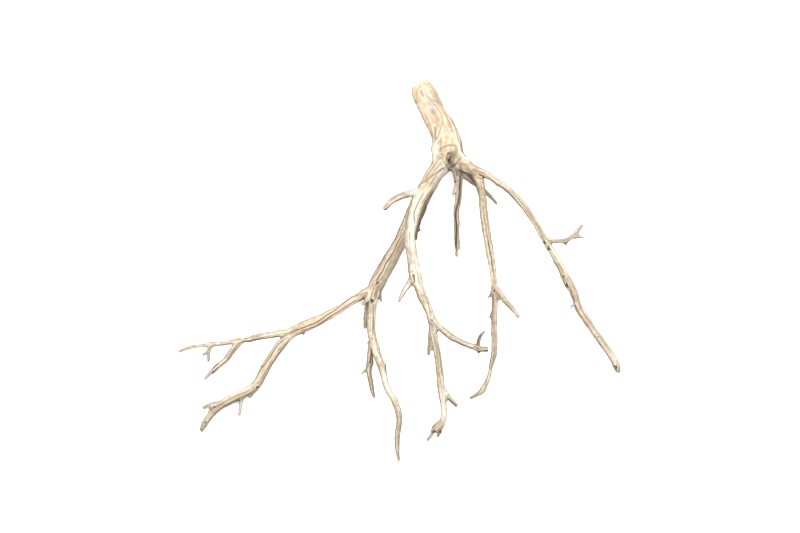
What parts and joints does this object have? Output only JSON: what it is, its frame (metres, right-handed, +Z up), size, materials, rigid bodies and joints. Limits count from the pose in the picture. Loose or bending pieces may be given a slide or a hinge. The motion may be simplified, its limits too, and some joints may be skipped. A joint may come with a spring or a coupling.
{
  "type": "driftwood branch",
  "caption": "Bare sandblasted manzanita branch with a sawn trunk end and crooked, forked limbs, lying on a flat surface.",
  "frame": {"origin": "middle of the bounding box's base, on the surface that the branch lies on", "axes": "+Y towards the sawn trunk end, +X towards the bowed outer limb, +Z up from the surface"},
  "size_m": [0.6164, 0.525, 0.1149],
  "materials": {
    "wood": "bare sandblasted wood, matte"
  },
  "bodies": {
    "root": {"driftwood": "wood"}
  },
  "joints": []
}
